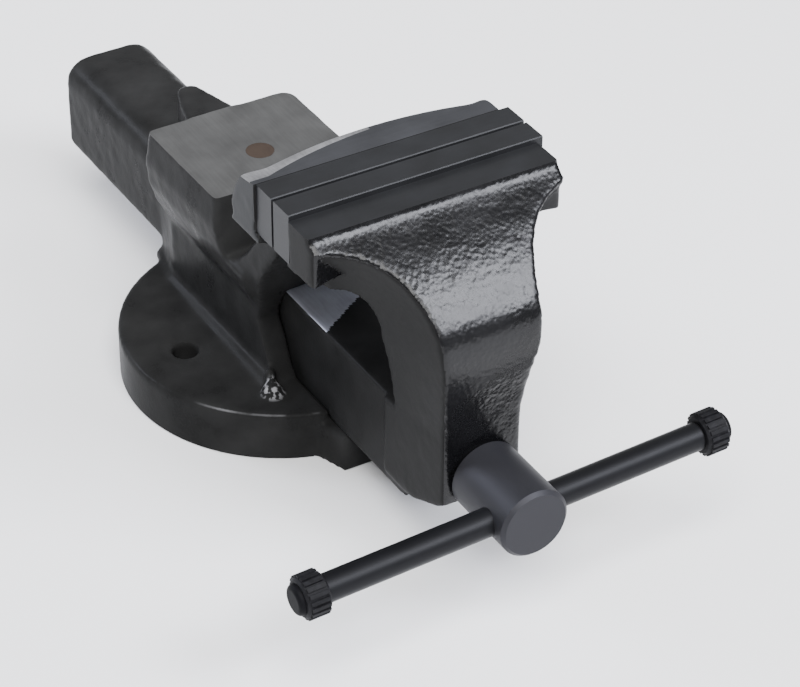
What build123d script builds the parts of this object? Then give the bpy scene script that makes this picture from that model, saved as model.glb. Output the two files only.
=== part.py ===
from build123d import *
import math
import os

os.makedirs("parts", exist_ok=True)

# Frame: X along the jaws, Y along the screw with the handle at -Y, Z up.
# The origin is the centre of the round foot, on its underside. Millimetres.

# Foot and front tongue
foot_radius = 94.5
foot_height = 30.5
bolt_circle_radius = 63.0
bolt_hole_radius = 7.5
bolt_seat_radius = 14.0
bolt_seat_depth = 0.8
tongue_front = -110.0
tongue_root_half = 28.5
tongue_tip_half = 21.8

# Screw axis, sliding bar and the channel it runs in
screw_z = 62.7
bar_half = 21.0
bar_top = 80.8
bar_floor = 24.0
bar_rear = 205.0
bar_step_y = 58.0
bar_rear_floor = 44.0
slide_gap = 0.3
channel_half = bar_half + slide_gap
channel_top = bar_top + slide_gap
channel_floor = bar_floor - slide_gap
bar_hollow_half = 14.0
bar_hollow_top = 75.7

# Jaws
jaw_half = 76.5
fixed_jaw_right = 69.5
moving_jaw_left = -75.3
moving_jaw_right = 71.8
plate_half = 75.0
plate_top = 207.2
plate_bottom = 178.0
plate_thick = 16.0
jaw_gap = 2.0
fixed_plate_front = -129.3
fixed_plate_back = fixed_plate_front + plate_thick
moving_plate_rear = fixed_plate_front - jaw_gap
moving_plate_back = moving_plate_rear - plate_thick
plate_screw_x = 48.0
plate_screw_z = 191.0
plate_screw_radius = 5.0
plate_head_radius = 9.0
plate_head_depth = 5.0
plate_screw_length = 26.0

# Anvil and tail
anvil_top = 130.0
anvil_front = -8.0
anvil_rear = 72.5
anvil_half = 45.3
plug_radius = 8.2
plug_depth = 14.0
plug_y = 23.0
tail_half = 29.0
tail_top = 97.0
tail_bottom = 38.0
tail_rear = 220.0
tail_round = 15.0
tail_wall = 6.0
rib_top = 128.6

# Screw, its head, washer and collar
shank_radius = 12.0
fit_gap = 0.07
boss_front = -214.0
washer_radius = 17.0
washer_thick = 2.4
head_radius = 20.0
head_front = -265.5
head_back = boss_front - washer_thick - 0.6
head_round = 2.0
thread_pitch = 6.0
thread_depth = 2.6
thread_start = -150.0
screw_tip = 170.0
collar_radius = 16.5
collar_front = -181.0
collar_rear = -168.0
pocket_radius = 17.3
pocket_front = collar_front - 0.4
pin_radius = 3.0

# Nut and its bolts
nut_half = 13.5
nut_front = -40.0
nut_rear = 10.0
nut_top = 75.2
nut_bolt_radius = 5.0
nut_bolt_top = 46.0
nut_bolt_y = (-28.0, -2.0)
nut_bolt_head_radius = 8.5
nut_bolt_head_height = 6.0
nut_washer_radius = 10.0
nut_washer_thick = 2.0
nut_seat_depth = 14.0

# Handle
handle_y = -250.2
handle_radius = 7.75
handle_tilt = -2.1
handle_left = -129.0
handle_right = 124.3
ring_width = 13.5
ring_radius = 12.1
ring_ribs = 20
ring_rib_height = 1.1
ring_rib_width = 2.2
spigot_radius = 6.0
button_radius = 8.5
button_height = 3.4


def side_solid(line, half):
    """A closed outline of (y, z) carried the same distance each way along X."""
    return extrude(Plane.YZ * make_face(line), half, both=True)


def front_solid(line, y_low, y_high):
    """A closed outline of (x, z) carried from y_high forward to y_low."""
    return extrude(Plane.XZ.offset(-y_high) * make_face(line), y_high - y_low)


def block(x_half, y_low, y_high, z_low, z_high):
    """A plain block centred on the middle plane."""
    size = (2 * x_half, y_high - y_low, z_high - z_low)
    centre = (0, (y_low + y_high) / 2, (z_low + z_high) / 2)
    return Pos(*centre) * Box(*size)


def rod_y(radius, y_low, y_high, x=0.0, z=screw_z):
    """A cylinder along Y."""
    turn = Rotation(90, 0, 0)
    return Pos(x, (y_low + y_high) / 2, z) * turn * Cylinder(radius, y_high - y_low)


def rod_x(radius, x_low, x_high):
    """A cylinder along X on the handle line."""
    turn = Rotation(0, 90, 0)
    centre = ((x_low + x_high) / 2, handle_y, screw_z)
    return Pos(*centre) * turn * Cylinder(radius, x_high - x_low)


def rod_z(radius, z_low, z_high, x=0.0, y=0.0):
    """A cylinder along Z."""
    return Pos(x, y, (z_low + z_high) / 2) * Cylinder(radius, z_high - z_low)


def two_sided(right, left):
    """A closed outline from its right half and, in the same terms, its left half."""
    other = [(-x, z) for x, z in reversed(left)]
    return Polyline(*right, *other, close=True)


def mirrored(points):
    """The same outline on both sides of the middle plane, closed."""
    return two_sided(points, points)


def arc_points(cx, cz, radius, start, end, count):
    """Points along an arc, both ends included."""
    steps = [start + (end - start) * i / count for i in range(count + 1)]
    turns = [math.radians(a) for a in steps]
    return [(cx + radius * math.cos(a), cz + radius * math.sin(a)) for a in turns]


# ---------------------------------------------------------------- fixed body
foot = rod_z(foot_radius, 0, foot_height)
foot = fillet(foot.edges().filter_by(GeomType.CIRCLE).group_by(Axis.Z)[-1], 2.5)

tongue_plan = Polyline(
    (-tongue_root_half, -80),
    (-tongue_root_half, -90),
    (-tongue_tip_half, tongue_front),
    (tongue_tip_half, tongue_front),
    (tongue_root_half, -90),
    (tongue_root_half, -80),
    close=True,
)
tongue = extrude(make_face(tongue_plan), channel_floor)

# The lower walls each side of the bar lean forward to the foot.
wall_line = Polyline((-56, 28), (-37, 63), (-44, 90), (96, 90), (96, 28), close=True)
wall_plan = Polyline(
    (-36, -60), (-36, 66), (-28.5, 96), (28.5, 96), (36, 66), (36, -60), close=True
)
walls = side_solid(wall_line, 40.0) & extrude(make_face(wall_plan), 120)

# The anvil block is widest a little under its top and tucks in to the walls.
anvil_outline = [
    (anvil_half, anvil_top),
    (48.2, 113),
    (46.5, 98),
    (42.3, 84),
    (36.0, 72),
]
anvil_side = Polyline(
    (anvil_front, anvil_top),
    (anvil_rear, anvil_top),
    (anvil_rear + 1.5, 95),
    (anvil_rear + 2.5, 72),
    (-37, 72),
    (-38, 96),
    (-18, 97),
    close=True,
)
anvil = side_solid(anvil_side, 60) & front_solid(mirrored(anvil_outline), -60, 110)
rear_edges = anvil.edges().filter_by(lambda e: e.center().Y > 70 and e.center().Z > 112)
rear_edges = rear_edges.filter_by(lambda e: abs(e.center().X) > 40)
anvil = fillet(rear_edges.filter_by(lambda e: e.center().X > 0), 8.0)
rear_edges = anvil.edges().filter_by(lambda e: e.center().Y > 70 and e.center().Z > 112)
rear_edges = rear_edges.filter_by(lambda e: e.center().X < -40)
anvil = fillet(rear_edges, 2.5)

# The fixed jaw rises from the front of the body on a flared neck.
jaw_side = Polyline(
    (fixed_plate_back, plate_top),
    (-103, plate_top),
    (-92.5, 197),
    (-88.3, 186),
    (-88.5, 176),
    (-82, 164),
    (-66, 147),
    (-50, 130),
    (-37, 113),
    (-26, 99),
    (-14, 96),
    (-10, 72),
    (-40, 72),
    (-44, 82),
    (-52, 101),
    (-66, 122),
    (-86, 145),
    (-103, 161),
    (fixed_plate_back - 4, 170),
    (fixed_plate_back - 4, plate_bottom),
    (fixed_plate_back, plate_bottom),
    close=True,
)
flare = arc_points(86, 127, 47, 104, 180, 12)
jaw_outline = [(jaw_half, plate_top), (jaw_half, 173)] + flare + [(41.5, 98), (36, 72)]
neck = side_solid(jaw_side, 80) & front_solid(mirrored(jaw_outline), -130, 0)
neck -= Pos(fixed_jaw_right + 10, 0, 150) * Box(20, 400, 200)

# The back of the jaw bows out in the middle of its length.
bow = Plane.XY.offset(168) * make_face(
    Polyline((-68, -103), (64, -103))
    + ThreePointArc((64, -103), (-2, -93.5), (-68, -103))
)
bow = extrude(bow, plate_top - 168)

# The hollow tail that covers the back of the bar, and the rib that ties it in.
tail_blank = Plane.XZ.offset(-tail_rear) * (
    Pos(0, (tail_top + tail_bottom) / 2)
    * Rectangle(2 * tail_half, tail_top - tail_bottom)
)
tail = extrude(tail_blank, tail_rear - 60)
tail_long = tail.edges().filter_by(Axis.Y)
tail = fillet(tail_long.group_by(Axis.Z)[-1], tail_round)
tail_long = tail.edges().filter_by(Axis.Y)
tail = fillet(tail_long.group_by(Axis.Z)[0], 4.0)
tail = fillet(tail.faces().sort_by(Axis.Y)[-1].edges(), 3.0)

rib_plan = Polyline(
    (4.2, 105.6),
    (6.4, 97),
    (11.7, 76.5),
    (14, 60),
    (-20.6, 60),
    (-18.4, 77.5),
    (-14.1, 94),
    (-9.6, 105.5),
)
rib_plan += ThreePointArc((-9.6, 105.5), (-2.6, 110.6), (4.2, 105.6))
rib = Pos(0, 0, 90) * extrude(make_face(rib_plan), rib_top - 90)

body = foot + tongue + walls + anvil + neck + bow + tail + rib

channel = block(channel_half, -140, tail_rear - tail_wall, channel_floor, channel_top)
tail_mouth = block(channel_half, 96, tail_rear - tail_wall, 20, channel_top)
body = body - channel - tail_mouth
for side in (-1, 1):
    hole_x = side * bolt_circle_radius
    body -= rod_z(bolt_hole_radius, -1, 40, hole_x)
    body -= rod_z(bolt_seat_radius, foot_height - bolt_seat_depth, 40, hole_x)
    body -= rod_y(
        plate_screw_radius,
        fixed_plate_back - 1,
        fixed_plate_back + 16,
        side * plate_screw_x,
        plate_screw_z,
    )
body -= rod_z(plug_radius, anvil_top - plug_depth, anvil_top + 1, 0, plug_y)
for bolt_y in nut_bolt_y:
    body -= rod_z(nut_bolt_radius + 0.3, -1, 30, 0, bolt_y)
    body -= rod_z(nut_washer_radius + 0.5, -1, nut_seat_depth, 0, bolt_y)

# ------------------------------------------------------------ fixed fittings
anvil_plug = rod_z(plug_radius, anvil_top - plug_depth, anvil_top, 0, plug_y)


def jaw_plate(y_low):
    """One jaw plate, with its top and bottom long edges just broken."""
    plate = block(plate_half, y_low, y_low + plate_thick, plate_bottom, plate_top)
    long_edges = plate.edges().filter_by(Axis.X)
    return chamfer(long_edges, 0.5)


def screw_blanks(face_y, way):
    """Two countersunk shapes, heads at face_y, shanks running in direction way."""
    blanks = []
    for side in (-1, 1):
        seat = Plane(
            origin=(side * plate_screw_x, face_y, plate_screw_z),
            z_dir=(0, way, 0),
        )
        cone = Cone(plate_head_radius, plate_screw_radius, plate_head_depth)
        cone = seat * Pos(0, 0, plate_head_depth / 2) * cone
        shank = Cylinder(plate_screw_radius, plate_screw_length)
        shank = seat * Pos(0, 0, plate_screw_length / 2) * shank
        drive = seat * extrude(RegularPolygon(3.4, 6), 3.2)
        blanks.append((cone + shank, drive))
    return blanks


def drilled_plate(y_low, blanks, face_y, way):
    """A jaw plate with its screws' seats and their mouths cut through it."""
    plate = jaw_plate(y_low)
    for side, (blank, _) in zip((-1, 1), blanks):
        ends = sorted((face_y, face_y - way * 2))
        mouth = rod_y(plate_head_radius, *ends, side * plate_screw_x, plate_screw_z)
        plate = plate - blank - mouth
    return plate


fixed_face = fixed_plate_front + 0.8
moving_face = moving_plate_rear - 0.8
fixed_blanks = screw_blanks(fixed_face, 1)
moving_blanks = screw_blanks(moving_face, -1)
fixed_screws = [blank - drive for blank, drive in fixed_blanks]
moving_screws = [blank - drive for blank, drive in moving_blanks]
fixed_plate = drilled_plate(fixed_plate_front, fixed_blanks, fixed_face, 1)
moving_plate = drilled_plate(moving_plate_back, moving_blanks, moving_face, -1)

nut = block(nut_half, nut_front, nut_rear, channel_floor, nut_top)
nut = nut - rod_y(shank_radius + fit_gap, nut_front - 1, nut_rear + 1)
nut_bolts = []
nut_washers = []
for bolt_y in nut_bolt_y:
    nut -= rod_z(nut_bolt_radius, 20, nut_bolt_top, 0, bolt_y)
    washer_low = nut_seat_depth - nut_washer_thick
    head_low = washer_low - nut_bolt_head_height
    stem = rod_z(nut_bolt_radius, washer_low, nut_bolt_top, 0, bolt_y)
    hexagon = Pos(0, bolt_y, head_low) * RegularPolygon(nut_bolt_head_radius, 6)
    nut_bolts.append(stem + extrude(hexagon, nut_bolt_head_height))
    ring = rod_z(nut_washer_radius, washer_low, nut_seat_depth, 0, bolt_y)
    nut_washers.append(ring - rod_z(nut_bolt_radius + 0.3, 0, 30, 0, bolt_y))

# ---------------------------------------------------------------- moving jaw
front_curve = Spline(
    (-165.5, 204),
    (-169.5, 199.8),
    (-177, 194.5),
    (-191.5, 184),
    (-202, 175),
    (-211, 166),
    (-217.5, 158),
    (-220.5, 150),
    (-221, 140),
    (-219.5, 126),
    (-216.8, 113),
    (-215, 101),
    (boss_front, 84),
)
upright_back = Polyline(
    (boss_front, 84),
    (boss_front, 48),
    (-207, 43),
    (-170, 26),
    (-153, 24),
    (-153, 80.8),
    (-164, 81),
    (-164, 112),
    (-161, 132),
    (-156, 150),
    (-152, 165),
    (-146, 174),
    (moving_plate_back + 3.5, 174.5),
    (moving_plate_back + 3.5, plate_bottom),
    (moving_plate_back, plate_bottom),
    (moving_plate_back, 204),
    (-165.5, 204),
)
upright_side = side_solid(front_curve + upright_back, 80)
# The upright's two sides are ruled from a wide arc in front to a tight one behind.
# The right side's front arc lies a little lower, so the neck is wider on that side.
front_foot = [(26.6, 122.6), (24.2, 104), (23.4, 90), (23.4, 33), (20, 26), (16, 20)]
front_left = [(220, 340), (200, 330)]
front_left += arc_points(192.1, 148.8, 162.7, 110, 180, 18) + front_foot
front_right = [(220, 340), (200, 330)]
front_right += arc_points(193.1, 139.8, 162.7, 110, 180, 18) + front_foot
rear_half = [(76.5, 176), (66, 172)]
rear_half += arc_points(67.2, 123.7, 36.7, 110, 180, 18)
rear_half += [(28.5, 112.5), (26.3, 101), (24.1, 85), (23.4, 33), (20, 26), (16, 20)]
flare_front = Plane.XZ.offset(222) * make_face(two_sided(front_right, front_left))
flare_rear = Plane.XZ.offset(153) * make_face(mirrored(rear_half))
ruled_mass = upright_side & loft([flare_front, flare_rear], ruled=True)
rear_top = [(76.5, 210)] + rear_half
rear_mass = upright_side & front_solid(mirrored(rear_top), -153.2, -130)
arm_plan = Polyline(
    (-76.5, -130),
    (-76.5, -172.5),
    (-46, -164),
    (46, -164),
    (76.5, -172.5),
    (76.5, -130),
    close=True,
)
arms = upright_side & Pos(0, 0, 176) * extrude(make_face(arm_plan), 34)
upright = ruled_mass + rear_mass + arms
upright -= Pos(moving_jaw_right + 10, -190, 150) * Box(20, 200, 200)
upright -= Pos(moving_jaw_left - 10, -190, 150) * Box(20, 200, 200)

bar = block(bar_half, -172, bar_rear, bar_floor, bar_top)
bar = chamfer(bar.edges().filter_by(Axis.Y), 1.0)
bar -= block(30, bar_step_y, bar_rear + 5, 10, bar_rear_floor)
hollow = block(bar_hollow_half, -166, bar_rear + 5, 10, bar_hollow_top)
moving = upright + bar - hollow
moving -= rod_y(shank_radius + fit_gap, -230, -160)
moving -= rod_y(pocket_radius, pocket_front, -160)
moving -= block(pocket_radius, pocket_front, -160, 10, screw_z)
for side in (-1, 1):
    moving -= rod_y(
        plate_screw_radius,
        moving_plate_back - 16,
        moving_plate_back + 1,
        side * plate_screw_x,
        plate_screw_z,
    )

# --------------------------------------------------------------- screw parts
# The thread is drawn as parallel rings under one outer radius.
profile = [(0, head_front), (head_radius - head_round, head_front)]
profile.append((head_radius, head_front + head_round))
profile.append((head_radius, head_back))
profile.append((shank_radius, head_back))
thread_y = thread_start
profile.append((shank_radius, thread_y))
while thread_y + thread_pitch < screw_tip - 4:
    profile.append((shank_radius - thread_depth, thread_y + 1.2))
    profile.append((shank_radius - thread_depth, thread_y + 3.2))
    profile.append((shank_radius, thread_y + 4.4))
    profile.append((shank_radius, thread_y + thread_pitch))
    thread_y += thread_pitch
profile.append((shank_radius, screw_tip - 3))
profile.append((shank_radius - 3, screw_tip))
profile.append((0, screw_tip))
screw = revolve(make_face(Polyline(*profile, close=True)), Axis.Y)
screw = Pos(0, 0, screw_z) * screw
screw -= rod_x(handle_radius + fit_gap, -30, 30)
pin_y = (collar_front + collar_rear) / 2
pin_hole = rod_z(pin_radius, screw_z - 30, screw_z + 30, 0, pin_y)
screw -= pin_hole

washer_rear = boss_front - 0.3
washer = rod_y(washer_radius, washer_rear - washer_thick, washer_rear)
washer -= rod_y(shank_radius + 0.05, -230, -200)
collar = rod_y(collar_radius, collar_front, collar_rear)
collar = collar - rod_y(shank_radius, -190, -160) - pin_hole
pin = rod_z(pin_radius, screw_z - 15.5, screw_z + 15.5, 0, pin_y)

# -------------------------------------------------------------------- handle
bar_body = rod_x(handle_radius, handle_left + ring_width, handle_right - ring_width)
bar_ends = bar_body.edges().filter_by(GeomType.CIRCLE)
bar_body = chamfer(bar_ends, 0.8)
spigot = rod_x(spigot_radius, handle_left, handle_right)
handle_bar = bar_body + spigot


def grip_ring(x_low):
    """A rubber ring with fine ribs along its outside."""
    ring = rod_x(ring_radius - ring_rib_height, x_low, x_low + ring_width)
    ring = chamfer(ring.edges().filter_by(GeomType.CIRCLE), 1.2)
    ridge = Pos(0, 0, ring_radius - ring_rib_height / 2 - 0.4) * Box(
        ring_width - 3, ring_rib_width, ring_rib_height + 0.8
    )
    centre = Pos(x_low + ring_width / 2, handle_y, screw_z)
    for i in range(ring_ribs):
        ring += centre * Rotation(360 / ring_ribs * i, 0, 0) * ridge
    return ring - rod_x(spigot_radius, x_low - 1, x_low + ring_width + 1)


def end_button(x_face, way):
    """A shallow domed button closing the outer end of a ring."""
    low = min(x_face, x_face + way * button_height)
    button = rod_x(button_radius, low, low + button_height)
    rim = button.edges().filter_by(GeomType.CIRCLE)
    rim = rim.filter_by(lambda e: abs(e.center().X - x_face) > 1)
    return fillet(rim, button_height - 0.6)


ring_left = grip_ring(handle_left)
ring_right = grip_ring(handle_right - ring_width)
button_left = end_button(handle_left, -1)
button_right = end_button(handle_right, 1)

# The screw and handle are left standing a little off level, right end up.
tilt = Pos(0, 0, screw_z) * Rotation(0, handle_tilt, 0) * Pos(0, 0, -screw_z)

nodes = {
    "body_casting": body,
    "fixed_jaw_plate": fixed_plate,
    "fixed_jaw_screws": Compound(fixed_screws),
    "anvil_plug": anvil_plug,
    "spindle_nut": nut,
    "nut_bolts": Compound(nut_bolts),
    "nut_washers": Compound(nut_washers),
    "moving_jaw_casting": moving,
    "moving_jaw_plate": moving_plate,
    "moving_jaw_screws": Compound(moving_screws),
    "spindle_screw": tilt * screw,
    "thrust_washer": tilt * washer,
    "spindle_collar": tilt * collar,
    "collar_pin": tilt * pin,
    "handle_bar": tilt * handle_bar,
    "handle_ring_left": tilt * ring_left,
    "handle_ring_right": tilt * ring_right,
    "handle_button_left": tilt * button_left,
    "handle_button_right": tilt * button_right,
}
for name, shape in nodes.items():
    export_step(shape, f"parts/{name}.step")
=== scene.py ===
import math

import bpy
from mathutils import Matrix, Vector


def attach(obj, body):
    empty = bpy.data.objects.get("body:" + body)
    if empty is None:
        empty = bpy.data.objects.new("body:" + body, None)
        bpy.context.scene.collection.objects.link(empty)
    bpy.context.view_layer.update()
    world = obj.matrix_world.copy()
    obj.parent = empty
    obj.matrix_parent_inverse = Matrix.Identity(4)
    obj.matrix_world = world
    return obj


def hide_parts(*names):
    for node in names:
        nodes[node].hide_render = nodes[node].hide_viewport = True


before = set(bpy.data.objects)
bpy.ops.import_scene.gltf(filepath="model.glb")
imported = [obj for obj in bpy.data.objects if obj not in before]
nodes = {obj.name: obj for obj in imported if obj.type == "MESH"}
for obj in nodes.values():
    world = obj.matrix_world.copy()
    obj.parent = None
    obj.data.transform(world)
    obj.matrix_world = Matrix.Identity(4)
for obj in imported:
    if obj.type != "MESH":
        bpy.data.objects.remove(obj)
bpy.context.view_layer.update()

MM = 0.001

# Where the machined flats of the two castings lie, in millimetres.
ANVIL_TOP = 130.0
FIXED_JAW_TOP = 207.2
FIXED_SEAT = -113.3
MOVING_JAW_TOP = 204.0
MOVING_SEAT = -147.3
SEAT_LEDGE = 178.0
JAW_LEFT_END = -74.5
BAR_TOP = 80.8

# The top of the bar is bare ground steel with a painted pool of light, cut off by a painted
# shadow edge along a slanting line: its slant, and its y at x = 0.
SLIDE_SHADOW_SLANT = 0.64
SLIDE_SHADOW_START = -88 + 21 * SLIDE_SHADOW_SLANT

FOOT_RADIUS = 94.5
FOOT_TOP = 30.5

# The bead of iron along the foot of each wall: its line on the right side, and its stock.
WALL_BEAD_LINE = [(38, -56), (35.5, 66), (28, 95)]
WALL_BEAD_HEIGHT = 29
WALL_BEAD_RADIUS = 5.0

# The lump of iron left on the foot at the toe of the left wall, and one above it.
TOE_LUMP = (-41, -62, 31)
TOE_LUMP_SIZE = (12, 12, 15)
# The y where the painted glints on the toe lump are centred.
TOE_LUMP_GLINT_Y = -63
UPPER_LUMP = (-38, -54, 37)
UPPER_LUMP_SIZE = (7, 7, 9)

# The ground band behind the top of the fixed jaw is a strip of a wide, shallow cone.
BEVEL_CENTRE = (13.4, -327.5)
BEVEL_RADIUS = 231.4
BEVEL_SLOPE = 6.0
BEVEL_BELOW = 17.2
BEVEL_ABOVE = 12.8

# How finely the castings are remade, and how far their edges are eased.
FIXED_VOXEL = 1.7
MOVING_VOXEL = 1.35
CAST_EASE_ROUNDS = 4
SPARE_STOCK = 3.0


# ------------------------------------------------------------------ shading
class Signal:
    """A socket whose arithmetic adds Math nodes."""

    def __init__(self, finish, socket):
        self.finish = finish
        self.socket = socket

    def _math(self, operation, *values):
        made = self.finish.node("ShaderNodeMath", {"operation": operation}, *values)
        return Signal(self.finish, made.outputs[0])

    def __add__(self, other):
        return self._math("ADD", self, other)

    __radd__ = __add__

    def __mul__(self, other):
        return self._math("MULTIPLY", self, other)

    __rmul__ = __mul__

    def power(self, other):
        return self._math("POWER", self, other)


class Finish:
    """A material with one surface shader, built node by node."""

    def __init__(self, name, **fixed):
        self.material = bpy.data.materials.new(name)
        self.material.use_nodes = True
        self.tree = self.material.node_tree
        self.shader = self.tree.nodes["Principled BSDF"]
        for socket, value in fixed.items():
            self.shader.inputs[socket.replace("_", " ")].default_value = value
        self.place = self.node("ShaderNodeTexCoord", {}).outputs["Object"]

    def node(self, kind, settings, *values, **named):
        """Adds a node: its settings first, then values or links for its sockets."""
        made = self.tree.nodes.new(kind)
        for key, value in settings.items():
            setattr(made, key, value)
        pairs = list(enumerate(values)) + list(named.items())
        for key, value in pairs:
            key = key.replace("_", " ") if isinstance(key, str) else key
            if isinstance(value, Signal):
                value = value.socket
            if isinstance(value, bpy.types.NodeSocket):
                self.tree.links.new(value, made.inputs[key])
            else:
                made.inputs[key].default_value = value
        return made

    def band(self, signal, low, high):
        """0 below low, 1 above high, straight between."""
        made = self.node(
            "ShaderNodeMapRange",
            {"clamp": True},
            Value=signal,
            From_Min=low,
            From_Max=high,
        )
        return Signal(self, made.outputs["Result"])

    def axis(self, name):
        """The X, Y or Z place on the piece, in millimetres."""
        made = self.node("ShaderNodeSeparateXYZ", {}, self.place)
        return Signal(self, made.outputs[name]) * (1 / MM)

    def grain(self, size, detail=2.0, rough=0.5, stretch=(1, 1, 1)):
        """Soft noise with features of about size millimetres."""
        mapped = self.node("ShaderNodeMapping", {}, self.place, Scale=stretch)
        made = self.node(
            "ShaderNodeTexNoise",
            {},
            Vector=mapped.outputs[0],
            Scale=1 / (size * MM),
            Detail=detail,
            Roughness=rough,
        )
        return Signal(self, made.outputs["Fac"])

    def cells(self, size):
        """Rounded cells of about size millimetres, as hammered paint has."""
        made = self.node(
            "ShaderNodeTexVoronoi",
            {"feature": "SMOOTH_F1"},
            Vector=self.place,
            Scale=1 / (size * MM),
            Smoothness=0.6,
        )
        return Signal(self, made.outputs["Distance"])

    def mix(self, mask, low, high):
        """low where the mask is 0 and high where it is 1, for colours."""
        made = self.node("ShaderNodeMix", {"data_type": "RGBA"})
        for key, value in ((0, mask), (6, low), (7, high)):
            if isinstance(value, Signal):
                value = value.socket
            if isinstance(value, bpy.types.NodeSocket):
                self.tree.links.new(value, made.inputs[key])
            elif key == 0:
                made.inputs[key].default_value = value
            else:
                made.inputs[key].default_value = (*value, 1)
        return made.outputs[2]

    def set(self, socket, signal):
        """Links a varying signal to the shader."""
        signal = signal.socket if isinstance(signal, Signal) else signal
        self.tree.links.new(signal, self.shader.inputs[socket])

    def relief(self, height, depth, **under):
        """A bump of about depth millimetres, over an earlier Normal if given."""
        made = self.node(
            "ShaderNodeBump", {}, Height=height, Distance=depth * MM, Strength=1.0, **under
        )
        return made.outputs["Normal"]


def hammered_enamel(name, base, roughness, cell_depth, cell_size):
    """Black enamel that dried in small round dimples over a cast surface."""
    finish = Finish(name, Specular_IOR_Level=0.27)
    cloud = finish.grain(34, detail=3)
    speck = finish.grain(1.1, detail=1)
    dark = tuple(c * 0.72 for c in base)
    light = tuple(c * 1.35 for c in base)
    finish.set("Base Color", finish.mix(finish.band(cloud, 0.3, 0.7), dark, light))
    rough = roughness + finish.band(cloud, 0.3, 0.75) * 0.08 + speck * 0.05
    finish.set("Roughness", rough)
    dimples = finish.cells(cell_size) * 0.8 + finish.grain(cell_size * 1.3, 0) * 1.1
    normal = finish.relief(finish.grain(15, detail=1), cell_depth * 1.2)
    normal = finish.relief(dimples, cell_depth, Normal=normal)
    finish.set("Normal", normal)
    return finish.material


def cast_enamel(name, base, roughness, specular, relief_depth, highlight_painter=None):
    """Thinner satin enamel over a sand-cast skin, with highlights painted into its colour by
    the given function.
    """
    finish = Finish(name, Specular_IOR_Level=specular)
    cloud = finish.grain(26, detail=4)
    sand = finish.grain(1.6, detail=3)
    dark = tuple(c * 0.75 for c in base)
    light = tuple(c * 1.3 for c in base)
    colour = finish.mix(finish.band(cloud, 0.3, 0.7), dark, light)
    # Painted highlights go into the colour here, when a function for them is given.
    if highlight_painter:
        colour = highlight_painter(finish, cloud, colour)
    finish.set("Base Color", colour)
    finish.set("Roughness", roughness + finish.band(cloud, 0.35, 0.7) * 0.12 + sand * 0.06)
    normal = finish.relief(finish.grain(11, detail=2), relief_depth * 2)
    normal = finish.relief(sand, relief_depth, Normal=normal)
    finish.set("Normal", normal)
    return finish.material


def paint_foot_highlights(finish, cloud, colour):
    """Paints a highlight along the foot's front rim and glints on the toe lump."""
    x, y, z = (finish.axis(name) for name in "XYZ")
    reach = (x * x + y * y).power(0.5)
    # Painted highlight: a thin light band along the top of the foot's front rim.
    painted_rim_highlight = finish.band(reach, FOOT_RADIUS - 1.9, FOOT_RADIUS - 1.3)
    painted_rim_highlight = painted_rim_highlight * finish.band(reach, FOOT_RADIUS - 0.3, FOOT_RADIUS - 0.7)
    painted_rim_highlight = painted_rim_highlight * finish.band(z, FOOT_TOP - 1.7, FOOT_TOP - 1.1)
    painted_rim_highlight = painted_rim_highlight * finish.band(z, FOOT_TOP + 1, FOOT_TOP + 0.5)
    painted_rim_highlight = painted_rim_highlight * finish.band(y, -45, -62) * finish.band(cloud, 0.36, 0.6)
    colour = finish.mix(painted_rim_highlight, colour, (0.13, 0.13, 0.135))
    lump_x = x + -TOE_LUMP[0]
    lump_y = y + -TOE_LUMP_GLINT_Y
    away = (lump_x * lump_x + lump_y * lump_y).power(0.5)
    # Painted glints: bright specks on the toe lump.
    painted_lump_glints = finish.band(away, 7.5, 4.5)
    painted_lump_glints = painted_lump_glints * finish.band(z, FOOT_TOP - 1.5, FOOT_TOP + 0.5) * finish.band(z, 44, 40)
    painted_lump_glints = painted_lump_glints * finish.band(finish.grain(3.2, detail=3), 0.47, 0.56)
    return finish.mix(painted_lump_glints, colour, (0.24, 0.24, 0.25))


def ground_steel(
    name, base, roughness, metal, stretch=(1, 1, 1), scratch=0.02, spread=0.25, specular=0.25
):
    """Steel ground in one direction, with fine lines and a little staining."""
    finish = Finish(name, Specular_IOR_Level=specular)
    finish.shader.inputs["Metallic"].default_value = metal
    lines = finish.grain(1.2, detail=4, rough=0.7, stretch=stretch)
    cloud = finish.grain(22, detail=3)
    dark = tuple(c * (1 - spread) for c in base)
    light = tuple(c * (1 + spread) for c in base)
    tone = cloud * 0.6 + lines * 0.4
    finish.set("Base Color", finish.mix(finish.band(tone, 0.3, 0.7), dark, light))
    finish.set("Roughness", roughness + lines * 0.12 + cloud * 0.06)
    finish.set("Normal", finish.relief(lines, scratch))
    return finish.material


def rubber(name, base):
    """Moulded black rubber, with patches of dust."""
    finish = Finish(name, Specular_IOR_Level=0.1)
    dust = finish.grain(3, detail=4)
    light = tuple(c * 2.1 for c in base)
    finish.set("Base Color", finish.mix(finish.band(dust, 0.45, 0.8), base, light))
    finish.set("Roughness", 0.5 + dust * 0.2)
    finish.set("Normal", finish.relief(finish.grain(0.5, detail=2), 0.04))
    return finish.material


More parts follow.
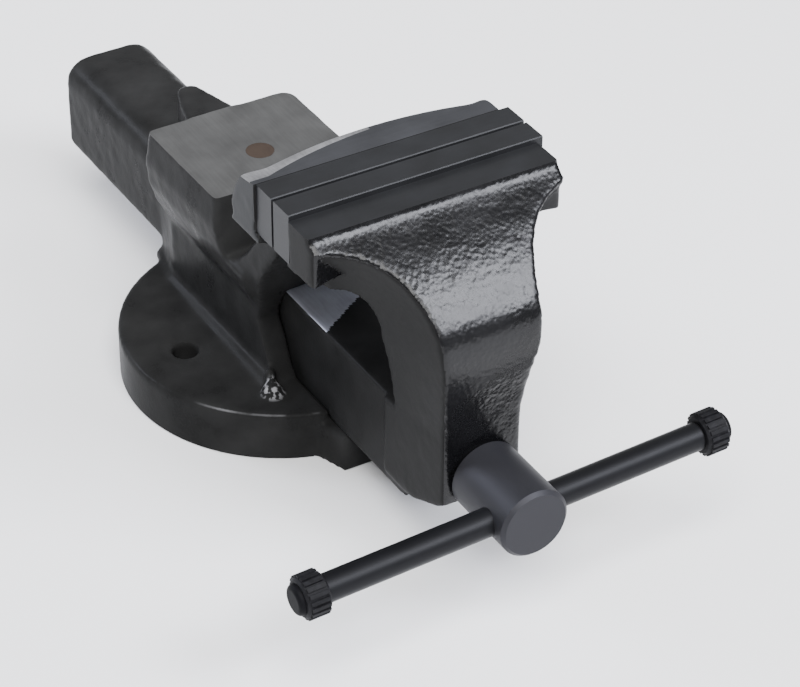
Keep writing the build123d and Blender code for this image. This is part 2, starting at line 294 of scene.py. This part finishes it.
front_enamel = hammered_enamel(
    "front_enamel", (0.003, 0.003, 0.0035), roughness=0.21, cell_depth=0.14, cell_size=2.1
)
jaw_enamel = cast_enamel(
    "jaw_enamel", (0.013, 0.013, 0.013), roughness=0.36, specular=0.03, relief_depth=0.05
)
body_enamel = cast_enamel(
    "body_enamel",
    (0.016, 0.016, 0.016),
    roughness=0.24,
    specular=0.02,
    relief_depth=0.07,
    # The foot gets painted highlights on its rim and painted glints on its toe lump.
    highlight_painter=paint_foot_highlights,
)
anvil_steel = ground_steel(
    "anvil_steel", (0.085, 0.085, 0.084), roughness=0.45, metal=0.6, stretch=(1, 0.05, 1)
)
fixed_top_steel = ground_steel(
    "fixed_top_steel", (0.035, 0.036, 0.04), roughness=0.42, metal=0.4, stretch=(0.06, 1, 1)
)
moving_top_steel = ground_steel(
    "moving_top_steel", (0.014, 0.0145, 0.016), roughness=0.4, metal=0.3, stretch=(0.06, 1, 1)
)
end_steel = ground_steel(
    "end_steel", (0.014, 0.015, 0.016), roughness=0.5, metal=0.25, stretch=(1, 1, 0.1)
)
bevel_steel = ground_steel(
    "bevel_steel",
    (0.3, 0.3, 0.31),
    roughness=0.36,
    metal=0.8,
    stretch=(1, 0.08, 1),
    scratch=0.05,
    spread=0.45,
)
# The bar's top: bare ground steel, made bright and bluish as a painted pool of light.
lit_slide_steel = ground_steel(
    "lit_slide_steel", (0.34, 0.35, 0.4), roughness=0.45, metal=0.6, stretch=(1, 0.1, 1)
)
plate_steel = ground_steel(
    "plate_steel", (0.014, 0.0145, 0.016), roughness=0.38, metal=0.3, stretch=(0.06, 1, 1)
)
plug_steel = ground_steel(
    "plug_steel", (0.05, 0.036, 0.028), roughness=0.5, metal=0.5, stretch=(1, 0.1, 1)
)
screw_steel = ground_steel(
    "screw_steel",
    (0.022, 0.022, 0.026),
    roughness=0.44,
    metal=0.5,
    stretch=(1, 0.2, 1),
    scratch=0.01,
    spread=0.08,
)
handle_steel = ground_steel(
    "handle_steel",
    (0.008, 0.0082, 0.0095),
    roughness=0.36,
    metal=0.4,
    stretch=(0.1, 1, 1),
    scratch=0.01,
    spread=0.12,
    specular=0.15,
)
button_steel = ground_steel(
    "button_steel",
    (0.004, 0.004, 0.005),
    roughness=0.5,
    metal=0.1,
    scratch=0.01,
    spread=0.12,
    specular=0.06,
)
dark_fastener = ground_steel("dark_fastener", (0.04, 0.04, 0.042), roughness=0.4, metal=0.7)
nut_iron = ground_steel(
    "nut_iron", (0.2, 0.2, 0.2), roughness=0.5, metal=0.7, stretch=(1, 0.2, 1)
)
ring_rubber = rubber("ring_rubber", (0.006, 0.006, 0.007))

node_finish = {
    "fixed_jaw_plate": plate_steel,
    "moving_jaw_plate": plate_steel,
    "fixed_jaw_screws": dark_fastener,
    "moving_jaw_screws": dark_fastener,
    "anvil_plug": plug_steel,
    "spindle_nut": nut_iron,
    "nut_bolts": dark_fastener,
    "nut_washers": dark_fastener,
    "body_casting": body_enamel,
    "moving_jaw_casting": jaw_enamel,
    "spindle_screw": screw_steel,
    "thrust_washer": dark_fastener,
    "spindle_collar": dark_fastener,
    "collar_pin": dark_fastener,
    "handle_bar": handle_steel,
    "handle_ring_left": ring_rubber,
    "handle_ring_right": ring_rubber,
    "handle_button_left": button_steel,
    "handle_button_right": button_steel,
}
for node_name, material in node_finish.items():
    node_slots = nodes[node_name].data.materials
    node_slots.clear()
    node_slots.append(material)


# ------------------------------------------------------------------ castings
def alone(piece):
    """Makes a piece the only one selected, and the active one."""
    bpy.ops.object.select_all(action="DESELECT")
    piece.select_set(True)
    bpy.context.view_layer.objects.active = piece


def settle(piece, kind, **settings):
    """Adds a modifier and applies it at once."""
    alone(piece)
    modifier = piece.modifiers.new(kind.lower(), kind)
    for key, value in settings.items():
        setattr(modifier, key, value)
    bpy.ops.object.modifier_apply(modifier=modifier.name)


def merged_copy(name, node_name):
    """The shape of a CAD node as one joined mesh of its own."""
    piece = bpy.data.objects.new(name, nodes[node_name].data.copy())
    bpy.context.scene.collection.objects.link(piece)
    alone(piece)
    bpy.ops.object.mode_set(mode="EDIT")
    bpy.ops.mesh.select_all(action="SELECT")
    bpy.ops.mesh.remove_doubles(threshold=0.002 * MM)
    bpy.ops.object.mode_set(mode="OBJECT")
    return piece


def block(low, high):
    """A plain box from its low to its high corner, in millimetres."""
    bpy.ops.object.select_all(action="DESELECT")
    centre = (Vector(low) + Vector(high)) / 2 * MM
    bpy.ops.mesh.primitive_cube_add(size=1, location=centre)
    box = bpy.context.object
    box.scale = (Vector(high) - Vector(low)) * MM
    bpy.ops.object.transform_apply(location=True, rotation=True, scale=True)
    return box


def take_out(piece, tool):
    """Cuts the shape of a tool out of a piece, and does away with the tool."""
    settle(piece, "BOOLEAN", operation="DIFFERENCE", solver="EXACT", object=tool)
    bpy.data.objects.remove(tool)


def cut_away(piece, low, high):
    """Takes one plain box out of a piece."""
    take_out(piece, block(low, high))


def push(piece, chosen, shift):
    """Moves the chosen corners of a piece by a shift in millimetres."""
    for vertex in piece.data.vertices:
        if chosen(vertex.co / MM):
            vertex.co += Vector(shift) * MM


def remade(piece, voxel, softer, rounds, waver):
    """Remakes a casting as one even skin, eased and wavering more where softer says."""
    settle(piece, "REMESH", mode="VOXEL", voxel_size=voxel * MM)
    group = piece.vertex_groups.new(name="softer")
    group.add([v.index for v in piece.data.vertices if softer(v.co / MM)], 1, "REPLACE")
    settle(piece, "SMOOTH", factor=0.5, iterations=CAST_EASE_ROUNDS)
    settle(piece, "SMOOTH", factor=0.5, iterations=rounds, vertex_group="softer")
    settle(
        piece,
        "DISPLACE",
        texture=sand_lumps,
        texture_coords="LOCAL",
        strength=waver * MM,
        mid_level=0.5,
        vertex_group="softer",
    )
    piece.vertex_groups.clear()


sand_lumps = bpy.data.textures.new("sand_lumps", "CLOUDS")
sand_lumps.noise_scale = 0.009
sand_lumps.noise_depth = 1


def bead(piece, places, radius):
    """Joins a rounded bar through the given places (mm) onto a casting."""
    for start, end in zip(places, places[1:]):
        start, end = Vector(start) * MM, Vector(end) * MM
        along = end - start
        bpy.ops.object.select_all(action="DESELECT")
        bpy.ops.mesh.primitive_cylinder_add(
            vertices=16,
            radius=radius * MM,
            depth=along.length,
            location=(start + end) / 2,
            rotation=along.to_track_quat("Z", "Y").to_euler(),
        )
        piece.select_set(True)
        bpy.context.view_layer.objects.active = piece
        bpy.ops.object.join()


def lump(piece, place, size):
    """Joins a rounded lump of metal, size mm across each way, onto a casting."""
    bpy.ops.object.select_all(action="DESELECT")
    bpy.ops.mesh.primitive_uv_sphere_add(radius=0.5, location=Vector(place) * MM)
    ball = bpy.context.object
    ball.scale = Vector(size) * MM
    bpy.ops.object.transform_apply(location=True, rotation=True, scale=True)
    piece.select_set(True)
    bpy.context.view_layer.objects.active = piece
    bpy.ops.object.join()


def dressed(piece, materials, choose):
    """Gives each face the finish its place and direction call for."""
    piece.data.materials.clear()
    for material in materials:
        piece.data.materials.append(material)
    for face in piece.data.polygons:
        face.material_index = materials.index(choose(face.center / MM, face.normal))
    alone(piece)
    bpy.ops.object.shade_smooth_by_angle(angle=math.radians(38))


# The fixed casting: foot, walls, anvil, neck and jaw, tail.
fixed_skin = merged_copy("fixed_casting_skin", "body_casting")
push(fixed_skin, lambda p: abs(p.z - ANVIL_TOP) < 0.1 and p.y > -20, (0, 0, SPARE_STOCK))
push(fixed_skin, lambda p: p.z > FIXED_JAW_TOP - 0.1, (0, 0, SPARE_STOCK))
push(
    fixed_skin,
    lambda p: abs(p.y - FIXED_SEAT) < 0.1 and p.z > SEAT_LEDGE,
    (0, -SPARE_STOCK, 0),
)
# Small fillets where each wall meets the foot, and the lumps left at a wall's toe.
for side in (-1, 1):
    toe = [(side * x, y, WALL_BEAD_HEIGHT) for x, y in WALL_BEAD_LINE]
    bead(fixed_skin, toe, WALL_BEAD_RADIUS)
lump(fixed_skin, TOE_LUMP, TOE_LUMP_SIZE)
lump(fixed_skin, UPPER_LUMP, UPPER_LUMP_SIZE)
remade(fixed_skin, FIXED_VOXEL, lambda p: p.z > 34 and p.z < 196, 3, 0.45)

# The turned side of the foot is brought back to its true round, but not at the tongue.
for vertex in fixed_skin.data.vertices:
    place = vertex.co / MM
    reach = math.hypot(place.x, place.y)
    if abs(reach - FOOT_RADIUS) < 2.2 and place.z < 27 and place.y > -88:
        true_reach = FOOT_RADIUS - (0.8 if place.z < 0.8 else 0)
        vertex.co.x *= true_reach / reach
        vertex.co.y *= true_reach / reach

# The top of the fixed jaw is ground away along its bowed rear edge, more on the left:
# everything outside a wide cone is taken off.
bevel_block = block((-100, -110, 195), (100, -60, 215))
bpy.ops.object.select_all(action="DESELECT")
bevel_middle = FIXED_JAW_TOP + (BEVEL_ABOVE - BEVEL_BELOW) / 2
bpy.ops.mesh.primitive_cone_add(
    vertices=720,
    radius1=(BEVEL_RADIUS + BEVEL_BELOW * BEVEL_SLOPE) * MM,
    radius2=(BEVEL_RADIUS - BEVEL_ABOVE * BEVEL_SLOPE) * MM,
    depth=(BEVEL_BELOW + BEVEL_ABOVE) * MM,
    location=Vector((*BEVEL_CENTRE, bevel_middle)) * MM,
)
take_out(bevel_block, bpy.context.object)
take_out(fixed_skin, bevel_block)


def on_bevel(place):
    """Whether a place lies on the ground band along the jaw's rear edge."""
    reach = math.hypot(place.x - BEVEL_CENTRE[0], place.y - BEVEL_CENTRE[1])
    return abs(reach + (place.z - FIXED_JAW_TOP) * BEVEL_SLOPE - BEVEL_RADIUS) < 1.0


cut_away(fixed_skin, (-70, -30, ANVIL_TOP), (70, 90, ANVIL_TOP + 10))
cut_away(fixed_skin, (-90, -130, FIXED_JAW_TOP), (90, -70, FIXED_JAW_TOP + 10))
cut_away(fixed_skin, (-90, -130, SEAT_LEDGE), (90, FIXED_SEAT, FIXED_JAW_TOP + 8))
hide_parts("body_casting")


def fixed_choice(place, facing):
    """Which finish a face of the fixed casting takes."""
    level = facing.z > 0.98
    if level and place.z > ANVIL_TOP - 0.3 and place.y > -30:
        return anvil_steel
    if level and place.z > FIXED_JAW_TOP - 0.3:
        return fixed_top_steel
    if place.x < JAW_LEFT_END and facing.x < -0.8 and place.z > 170:
        return end_steel
    if place.z > 198 and facing.y > 0.1 and on_bevel(place):
        return bevel_steel
    return body_enamel


dressed(
    fixed_skin,
    [body_enamel, anvil_steel, fixed_top_steel, end_steel, bevel_steel],
    fixed_choice,
)
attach(fixed_skin, "fixed")

# The moving casting: jaw, upright and sliding bar.
moving_skin = merged_copy("moving_casting_skin", "moving_jaw_casting")
push(moving_skin, lambda p: p.z > MOVING_JAW_TOP - 0.1, (0, 0, SPARE_STOCK))
push(
    moving_skin,
    lambda p: abs(p.y - MOVING_SEAT) < 0.1 and p.z > SEAT_LEDGE,
    (0, SPARE_STOCK, 0),
)
remade(moving_skin, MOVING_VOXEL, lambda p: p.y < -168 and p.z < 197, 12, 0.3)
cut_away(moving_skin, (-90, -170, MOVING_JAW_TOP), (90, -130, MOVING_JAW_TOP + 10))
cut_away(moving_skin, (-90, MOVING_SEAT, SEAT_LEDGE), (90, -120, MOVING_JAW_TOP + 8))
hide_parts("moving_jaw_casting")


def moving_choice(place, facing):
    """Which finish a face of the moving casting takes."""
    if facing.z > 0.98 and place.z > MOVING_JAW_TOP - 0.3:
        return moving_top_steel
    if facing.y < -0.2 and place.y < -166 and abs(facing.x) < 0.6 and facing.z > -0.3:
        return front_enamel
    # The bar top takes the bright steel as a painted pool of light, up to a slanting painted
    # shadow edge.
    on_bar = facing.z > 0.7 and BAR_TOP - 1.2 < place.z < BAR_TOP + 1
    if on_bar and place.y > SLIDE_SHADOW_START + place.x * SLIDE_SHADOW_SLANT:
        return lit_slide_steel
    return jaw_enamel


dressed(
    moving_skin, [jaw_enamel, front_enamel, moving_top_steel, lit_slide_steel], moving_choice
)
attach(moving_skin, "moving")


# --------------------------------------------------------- floor and lights
bpy.ops.object.select_all(action="DESELECT")
bpy.ops.mesh.primitive_plane_add(size=9, location=(0, 0, 0))
floor = bpy.context.object
floor.name = "floor"
floor_paper = Finish("floor_paper", Roughness=0.8, Specular_IOR_Level=0.1)
floor_paper.shader.inputs["Base Color"].default_value = (0.86, 0.86, 0.87, 1)
floor.data.materials.append(floor_paper.material)

world = bpy.data.worlds.new("studio")
bpy.context.scene.world = world
world.use_nodes = True
world.node_tree.nodes["Background"].inputs["Color"].default_value = (1, 1, 1, 1)
world.node_tree.nodes["Background"].inputs["Strength"].default_value = 0.25


def softbox(name, place, aim, width, height, power, tint=(1, 1, 1)):
    """A rectangular studio light at place, turned towards aim."""
    data = bpy.data.lights.new(name, "AREA")
    data.shape = "RECTANGLE"
    data.size = width
    data.size_y = height
    data.energy = power
    data.color = tint
    light = bpy.data.objects.new(name, data)
    light.location = place
    light.rotation_euler = (Vector(aim) - Vector(place)).to_track_quat("-Z", "Y").to_euler()
    bpy.context.scene.collection.objects.link(light)


softbox("front_box", (0.9, -1.45, 1.5), (0, -0.2, 0.15), 0.9, 0.8, 66, (0.9, 0.92, 1))
softbox("rear_box", (1.05, 1.75, 1.55), (0, 0.05, 0.1), 1.6, 1.2, 4.5)
softbox("left_box", (-1.7, -0.6, 1.5), (0, -0.1, 0.1), 0.7, 0.7, 2.5, (0.88, 0.92, 1))
softbox("back_box", (-1.2, 1.5, 1.0), (0, 0, 0.1), 0.8, 0.6, 34, (0.82, 0.86, 1))
sky_data = bpy.data.lights.new("overhead", "SUN")
sky_data.energy = 6.5
sky_data.angle = math.radians(50)
sky = bpy.data.objects.new("overhead", sky_data)
sky.rotation_euler = Vector((-0.2, -0.45, 0.87)).to_track_quat("Z", "Y").to_euler()
bpy.context.scene.collection.objects.link(sky)

# ------------------------------------------------------------------- camera
camera_turn = math.radians(-31.0)
camera_lift = math.radians(35.68)
camera_roll = math.radians(0.43)
camera_distance = 1.615
camera_target = Vector((0.0086, -0.1163, 0.0802))
back = Vector(
    (
        math.sin(camera_turn) * math.cos(camera_lift),
        -math.cos(camera_turn) * math.cos(camera_lift),
        math.sin(camera_lift),
    )
)
level_right = Vector((math.cos(camera_turn), math.sin(camera_turn), 0))
level_up = back.cross(level_right)
right = level_right * math.cos(camera_roll) + level_up * math.sin(camera_roll)
up = level_up * math.cos(camera_roll) - level_right * math.sin(camera_roll)
camera_data = bpy.data.cameras.new("camera")
camera_data.sensor_width = 36
camera_data.lens = 135
camera = bpy.data.objects.new("camera", camera_data)
bpy.context.scene.collection.objects.link(camera)
turn = Matrix((right, up, back)).transposed().to_4x4()
camera.matrix_world = Matrix.Translation(camera_target + back * camera_distance) @ turn
bpy.context.scene.camera = camera
